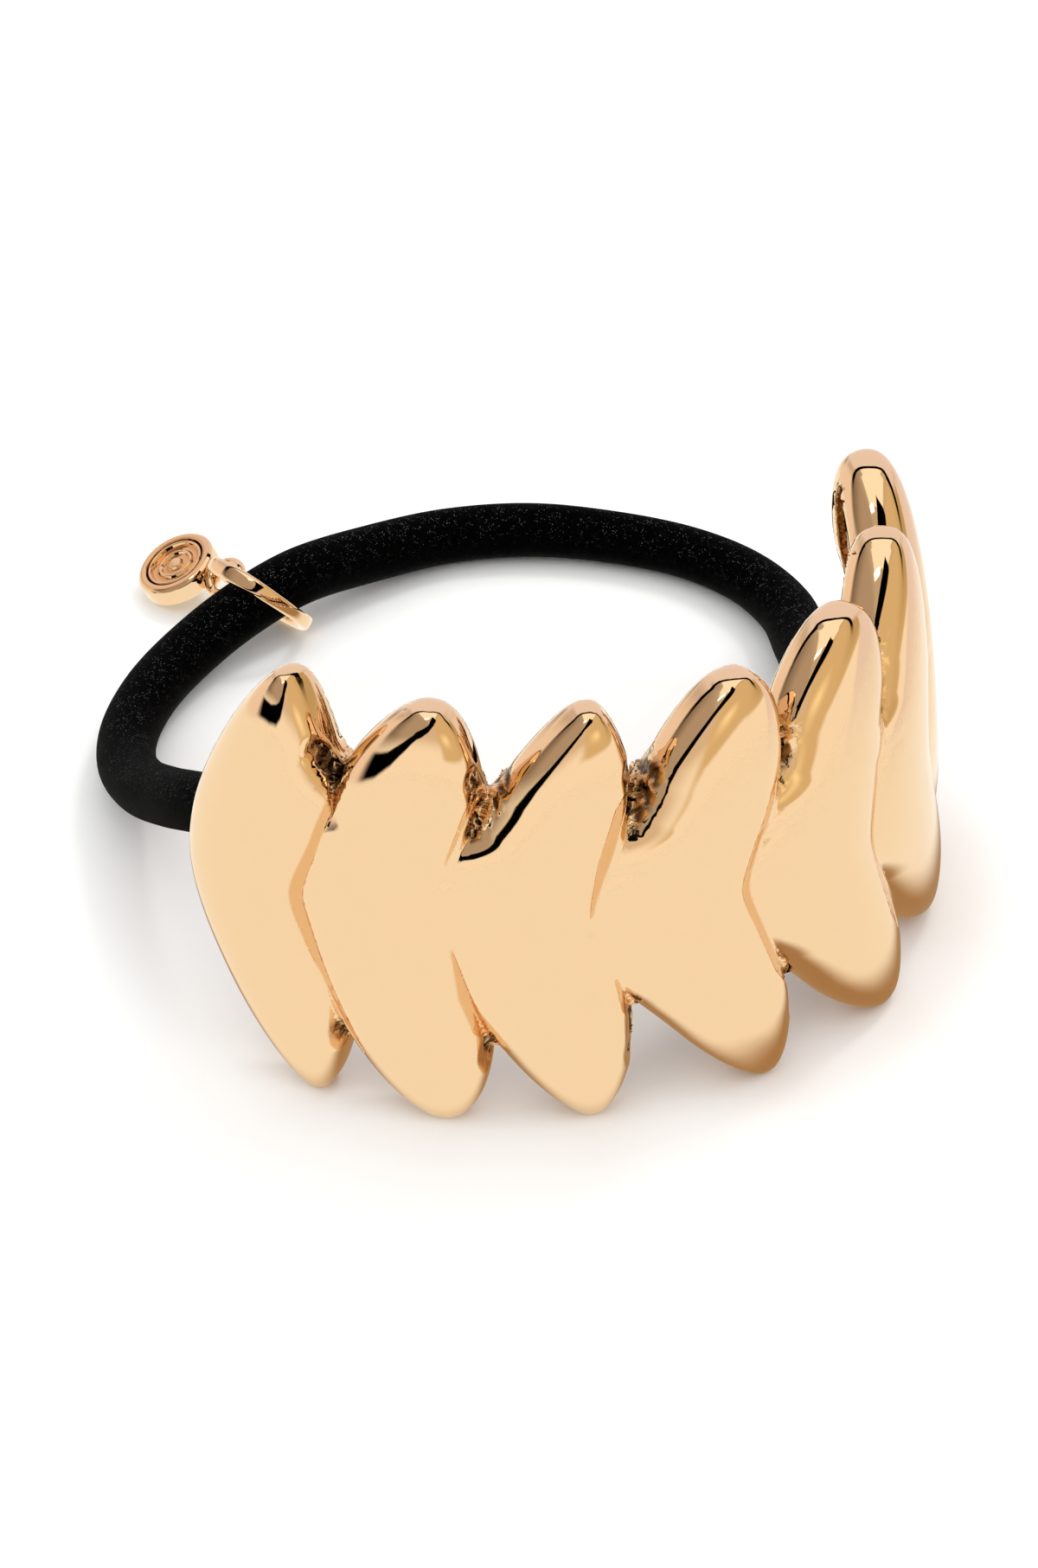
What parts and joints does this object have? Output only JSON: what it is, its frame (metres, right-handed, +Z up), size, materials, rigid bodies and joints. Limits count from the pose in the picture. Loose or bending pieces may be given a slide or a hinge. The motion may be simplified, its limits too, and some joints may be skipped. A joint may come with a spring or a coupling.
{
  "type": "hair tie",
  "caption": "Hair tie: a curved cast metal cuff of leaning, fused lobes carried on a closed round elastic cord, with a small disc charm hung from a band ring round the cord.",
  "frame": {"origin": "on the floor, under the middle of the cuff's bounding box", "axes": "+Z up, with the cuff standing on its lower lobe tips and the rear of the cord lying on the floor; +X along the cuff's longest extent, towards its long arm; the cuff faces -Y"},
  "size_m": [0.0565, 0.07, 0.0293],
  "materials": {
    "rose_gold": "polished rose gold plating over cast metal, rough as cast in the notches and hollow backs",
    "black_elastic": "matt black velvety woven cover over a rubber core"
  },
  "bodies": {
    "root": {"cuff": "rose_gold", "elastic_cord": "black_elastic", "charm_ring": "rose_gold", "charm_disc": "rose_gold"}
  },
  "joints": []
}
